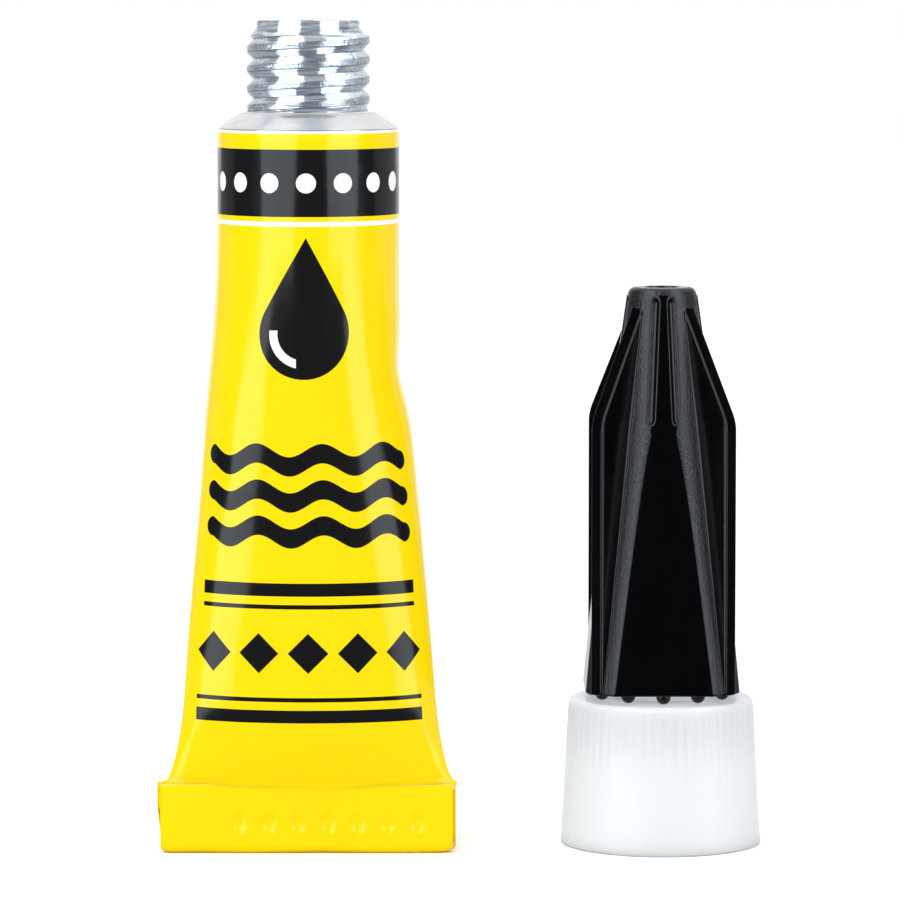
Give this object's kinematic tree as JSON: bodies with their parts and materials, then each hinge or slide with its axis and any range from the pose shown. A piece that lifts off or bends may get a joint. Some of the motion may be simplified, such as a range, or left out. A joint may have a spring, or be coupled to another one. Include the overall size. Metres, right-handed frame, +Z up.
{
  "type": "super glue tube",
  "caption": "Flattened yellow aluminium glue tube on its folded end, neck thread bare, beside its white screw-on nozzle with a black finned screw cap.",
  "frame": {"origin": "middle of the row's footprint on the table, at the height of the table", "axes": "+Z up along the tube and the nozzle, front faces -Y, the tube stands on the -X side and the capped nozzle on the +X side"},
  "size_m": [0.0386, 0.0162, 0.0531],
  "materials": {
    "aluminium": "bright drawn aluminium",
    "yellow_enamel": "glossy printed enamel",
    "foil": "thin bright membrane",
    "sealing_latex": "dried latex",
    "glue": "clear thin liquid, held as a solid",
    "white_plastic": "translucent moulded polyethylene",
    "pin_steel": "drawn wire",
    "black_plastic": "moulded, glossy panels and a fine matt cone"
  },
  "bodies": {
    "tube": {"tube_shell": "aluminium", "enamel_coat": "yellow_enamel", "neck_membrane": "foil", "end_seal_band": "sealing_latex", "glue_fill": "glue"},
    "nozzle": {"nozzle": "white_plastic"},
    "pin": {"cap_pin": "pin_steel"},
    "cap": {"cap": "black_plastic"}
  },
  "joints": [
    {"name": "nozzle_lift", "type": "slide", "parent": "tube", "child": "nozzle", "axis": [0, 0, 1], "range_m": [0, 0.06]},
    {"name": "cap_rise", "type": "slide", "parent": "nozzle", "child": "pin", "axis": [0, 0, 1], "range_m": [0, 0.003]},
    {"name": "cap_turn", "type": "hinge", "parent": "pin", "child": "cap", "pos_m": [0.01286, 0.00167, 0.031], "axis": [0, 0, 1], "range_deg": [0, 1080]}
  ],
  "couplings": [
    {"joint": "cap_turn", "follows": "cap_rise", "rad_per_m": 6283.2}
  ]
}
